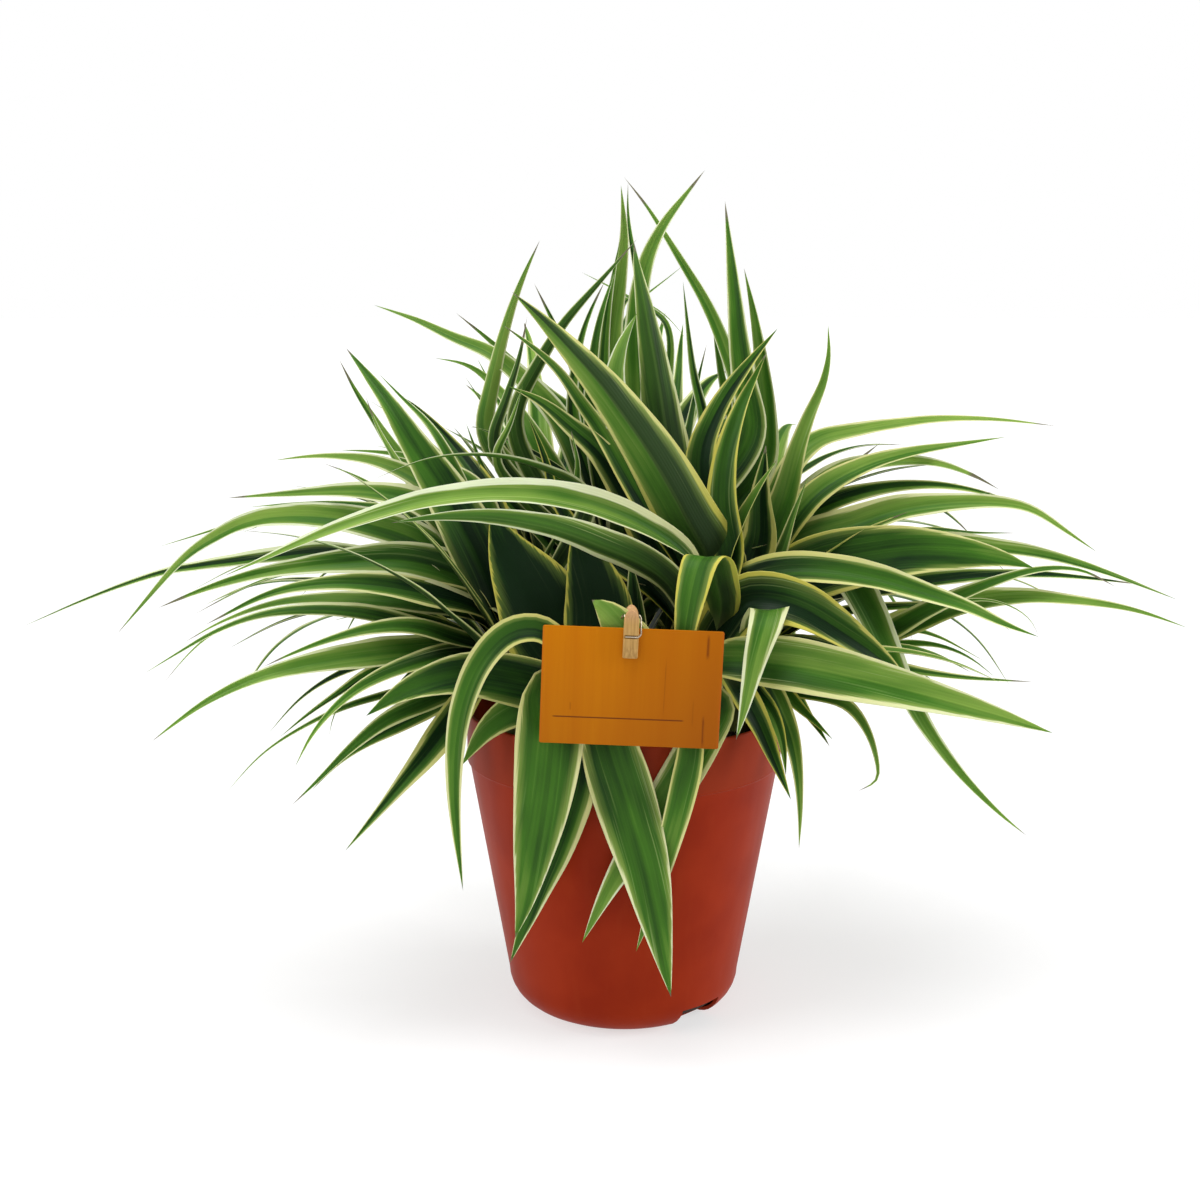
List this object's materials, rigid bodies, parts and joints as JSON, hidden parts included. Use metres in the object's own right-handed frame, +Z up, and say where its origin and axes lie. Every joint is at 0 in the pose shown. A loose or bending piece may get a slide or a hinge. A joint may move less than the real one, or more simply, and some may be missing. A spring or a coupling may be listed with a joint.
{
  "type": "potted spider plant",
  "caption": "Variegated spider plant with long arching striped leaves in a round plastic nursery pot, with a bare wooden card clipped to one leaf by a small spring peg.",
  "frame": {"origin": "centre of the pot's underside, on the surface that the pot stands on", "axes": "+Z up; the card faces -Y, towards the front; +X is to the right as seen from the front"},
  "size_m": [0.4613, 0.2959, 0.3183],
  "materials": {
    "pot_plastic": "satin",
    "soil": "matte",
    "leaf": "satin",
    "card_wood": "satin",
    "peg_wood": "matte",
    "spring_wire": "satin"
  },
  "bodies": {
    "root": {"pot": "pot_plastic", "soil": "soil", "rosette_front": "leaf", "rosette_left": "leaf", "rosette_centre": "leaf", "rosette_right": "leaf", "rosette_top": "leaf", "rosette_rear_left": "leaf", "rosette_rear_right": "leaf", "label_card": "card_wood", "peg_front": "peg_wood", "peg_back": "peg_wood", "peg_spring": "spring_wire"}
  },
  "joints": []
}
